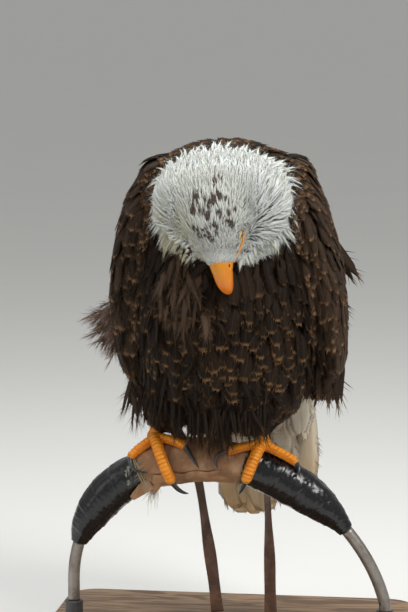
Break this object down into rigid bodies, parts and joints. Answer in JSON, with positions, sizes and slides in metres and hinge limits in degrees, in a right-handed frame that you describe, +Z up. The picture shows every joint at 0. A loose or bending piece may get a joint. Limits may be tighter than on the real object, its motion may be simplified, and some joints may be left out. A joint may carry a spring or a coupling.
{
  "type": "bald eagle",
  "caption": "Life-size adult bald eagle gripping a padded bow perch, head bowed to its breast, on a flat display stand.",
  "frame": {"origin": "middle of the underside of the stand's base", "axes": "+Z up; the bird faces -Y; +X is the bird's left"},
  "size_m": [0.52, 0.42, 0.716],
  "materials": {
    "plumage_white": "white feathers with dark flecks",
    "plumage_brown": "dark brown feathers with pale tips",
    "bill_horn": "yellow-orange horn",
    "eye": "pale yellow, wet",
    "foot_skin": "scaly yellow-orange skin",
    "claw_horn": "black horn",
    "strap_leather": "worn brown",
    "perch_leather": "worn, frayed",
    "perch_tape": "glossy wrapped tape",
    "perch_steel": "dull bare steel",
    "stand_metal": "satin",
    "stand_wood": "dark satin wood"
  },
  "bodies": {
    "root": {"anklet_left": "strap_leather", "anklet_right": "strap_leather", "bill_lower": "bill_horn", "bill_upper": "bill_horn", "claw_left_hind": "claw_horn", "claw_left_inner": "claw_horn", "claw_left_middle": "claw_horn", "claw_left_outer": "claw_horn", "claw_right_hind": "claw_horn", "claw_right_inner": "claw_horn", "claw_right_middle": "claw_horn", "claw_right_outer": "claw_horn", "eye_left": "eye", "eye_right": "eye", "flight_feathers_left": "plumage_brown", "flight_feathers_right": "plumage_brown", "foot_left": "foot_skin", "foot_right": "foot_skin", "head": "plumage_white", "jess_left": "strap_leather", "jess_right": "strap_leather", "leg_left": "plumage_brown", "leg_right": "plumage_brown", "neck": "plumage_white", "perch_leather": "perch_leather", "perch_steel_left": "perch_steel", "perch_steel_right": "perch_steel", "perch_tape_left": "perch_tape", "perch_tape_right": "perch_tape", "stand_base": "stand_wood", "stand_rod_left": "stand_metal", "stand_rod_right": "stand_metal", "tail": "plumage_white", "trunk": "plumage_brown", "wing_left": "plumage_brown", "wing_right": "plumage_brown"}
  },
  "joints": []
}
